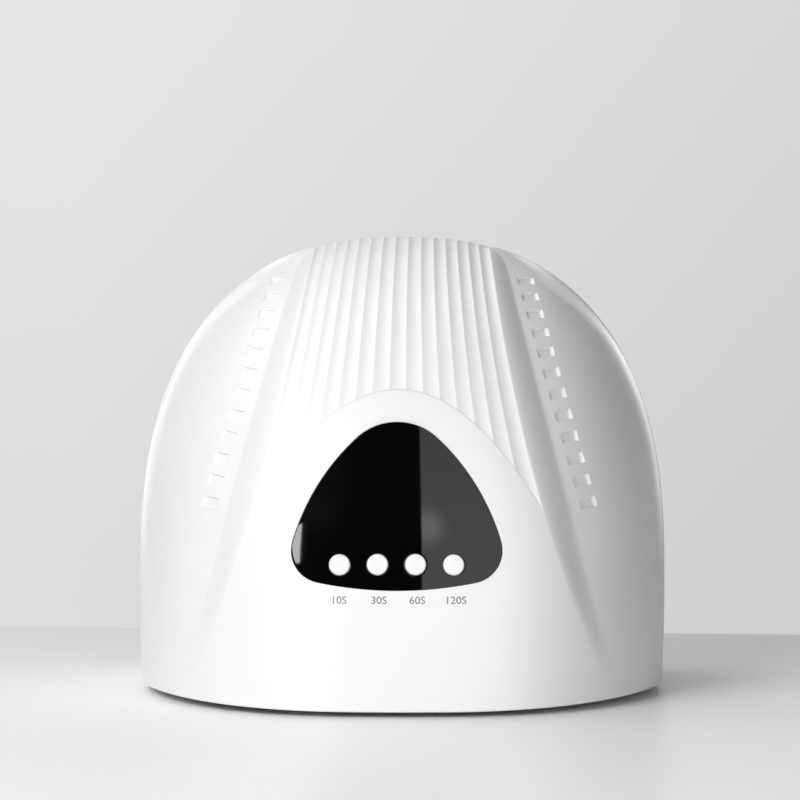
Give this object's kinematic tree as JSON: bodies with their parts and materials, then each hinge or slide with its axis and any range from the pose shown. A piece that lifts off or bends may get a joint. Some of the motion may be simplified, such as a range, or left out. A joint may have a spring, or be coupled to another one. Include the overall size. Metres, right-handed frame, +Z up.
{
  "type": "led nail lamp",
  "caption": "Domed white LED nail lamp with a fluted hood, a black timer window with round buttons in front, and an arched hand chamber with a draw-out floor tray at the back.",
  "frame": {"origin": "centre of the footprint on the table plane, under the four rubber feet", "axes": "+X to the right of someone who faces the timer window, +Y from the window towards the hand opening, +Z up"},
  "size_m": [0.212, 0.184, 0.183],
  "materials": {
    "shell_white": "satin gloss ABS",
    "panel_white": "fine satin ABS",
    "base_white": "satin ABS",
    "tray_white": "satin ABS",
    "liner_silver": "metallised",
    "window_black": "polished acrylic",
    "button_white": "satin gloss ABS",
    "stem_grey": "moulded",
    "inner_black": "moulded",
    "board_green": "solder mask",
    "board_white": "white solder mask",
    "bracket_grey": "moulded",
    "lens_clear": "moulded epoxy",
    "sensor_black": "infrared filter",
    "post_ivory": "nylon",
    "capacitor_sleeve": "shrunk sleeve",
    "coil_copper": "enamelled wire",
    "cable_grey": "PVC",
    "socket_black": "moulded",
    "foot_rubber": "matt",
    "screw_steel": "zinc plated",
    "magnet_nickel": "nickel plated"
  },
  "bodies": {
    "housing": {"upper_shell": "shell_white", "rear_bezel": "panel_white", "base_plate": "base_white", "chamber_liner": "liner_silver", "display_window": "window_black", "display_module": "inner_black", "control_board": "board_green", "panel_bracket": "bracket_grey", "tact_switches": "inner_black", "led_board_roof": "board_white", "led_board_left": "board_white", "led_board_right": "board_white", "led_lenses": "lens_clear", "hand_sensor": "sensor_black", "driver_board": "board_green", "board_posts": "post_ivory", "driver_capacitors": "capacitor_sleeve", "driver_coil": "coil_copper", "ribbon_cable": "cable_grey", "dc_jack": "socket_black", "rubber_feet": "foot_rubber", "case_screws": "screw_steel", "tray_magnets": "magnet_nickel"},
    "button_10s": {"button_10s": "button_white", "stem_10s": "stem_grey"},
    "button_30s": {"button_30s": "button_white", "stem_30s": "stem_grey"},
    "button_60s": {"button_60s": "button_white", "stem_60s": "stem_grey"},
    "button_120s": {"button_120s": "button_white", "stem_120s": "stem_grey"},
    "tray": {"base_tray": "tray_white", "tray_keepers": "screw_steel"}
  },
  "joints": [
    {"name": "press_10s", "type": "slide", "parent": "housing", "child": "button_10s", "axis": [0, 0.9816, -0.1908], "range_m": [0, 0.0005], "stiffness_N_per_m": 1600},
    {"name": "press_30s", "type": "slide", "parent": "housing", "child": "button_30s", "axis": [0, 0.9816, -0.1908], "range_m": [0, 0.0005], "stiffness_N_per_m": 1600},
    {"name": "press_60s", "type": "slide", "parent": "housing", "child": "button_60s", "axis": [0, 0.9816, -0.1908], "range_m": [0, 0.0005], "stiffness_N_per_m": 1600},
    {"name": "press_120s", "type": "slide", "parent": "housing", "child": "button_120s", "axis": [0, 0.9816, -0.1908], "range_m": [0, 0.0005], "stiffness_N_per_m": 1600},
    {"name": "tray_slide", "type": "slide", "parent": "housing", "child": "tray", "axis": [0, 1, 0], "range_m": [0, 0.12]}
  ]
}
